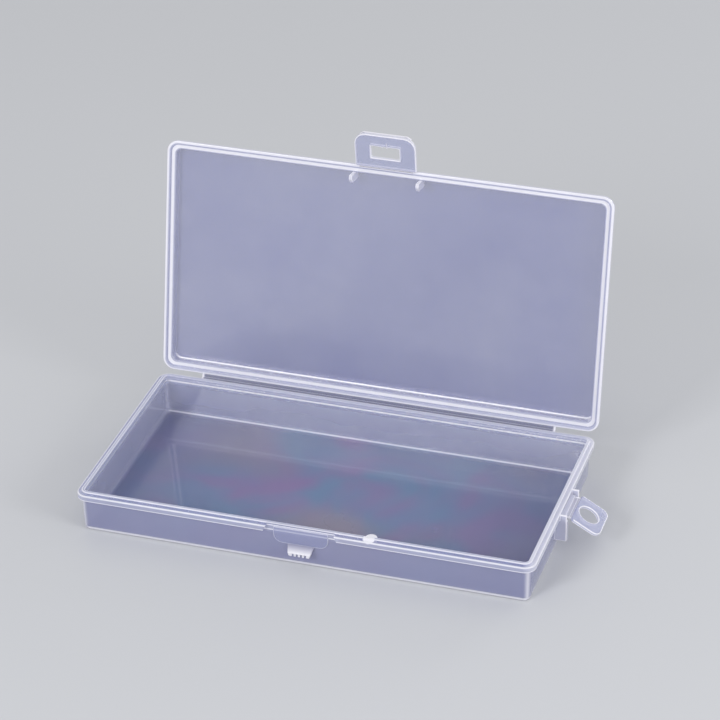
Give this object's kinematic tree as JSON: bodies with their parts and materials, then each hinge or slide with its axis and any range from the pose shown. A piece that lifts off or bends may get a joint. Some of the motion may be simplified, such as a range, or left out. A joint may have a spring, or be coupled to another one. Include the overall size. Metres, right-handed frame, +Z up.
{
  "type": "storage box",
  "caption": "Flat see-through storage box with a film-hinged lid, a slotted latch flap that drops over a toothed catch, and a hanging tab on one end wall.",
  "frame": {"origin": "centre of the underside of the base", "axes": "+X along the box to the right, +Y back towards the lid hinge, +Z up"},
  "size_m": [0.1895, 0.1171, 0.1238],
  "materials": {
    "milky_plastic": "milky see-through polypropylene, satin gloss",
    "clear_plastic": "clearer polypropylene with a faint blue tint, glossy",
    "stressed_plastic": "polypropylene whitened where it is thick or was strained",
    "film_plastic": "thin polypropylene film, creased along its middle"
  },
  "bodies": {
    "base": {"base_tray": "milky_plastic", "base_rim": "milky_plastic", "catch_pad": "milky_plastic", "catch": "stressed_plastic", "gate_nub": "stressed_plastic", "hang_bracket_front": "milky_plastic", "hang_bracket_rear": "milky_plastic", "hang_shelf": "milky_plastic", "hang_hinge": "film_plastic", "lid_hinge": "film_plastic"},
    "lid": {"lid_panel": "clear_plastic", "lid_rim": "milky_plastic", "lid_fin_left": "milky_plastic", "lid_fin_right": "milky_plastic", "latch_hinge": "film_plastic"},
    "latch": {"latch_flap": "milky_plastic", "latch_lip": "stressed_plastic"},
    "hanger": {"hang_flap": "milky_plastic"}
  },
  "joints": [
    {"name": "lid_fold", "type": "hinge", "parent": "base", "child": "lid", "pos_m": [0, 0.0477, 0.016], "axis": [1, 0, 0], "range_deg": [-80, 100], "deforming": ["lid_hinge"]},
    {"name": "latch_fold", "type": "hinge", "parent": "lid", "child": "latch", "pos_m": [0, 0.06361, 0.10854], "axis": [1, 0, 0], "range_deg": [-18, 72], "deforming": ["latch_hinge"]},
    {"name": "hanger_fold", "type": "hinge", "parent": "base", "child": "hanger", "pos_m": [0.0906, 0, 0.014], "axis": [0, 1, 0], "range_deg": [-30, 60], "deforming": ["hang_hinge"]}
  ]
}
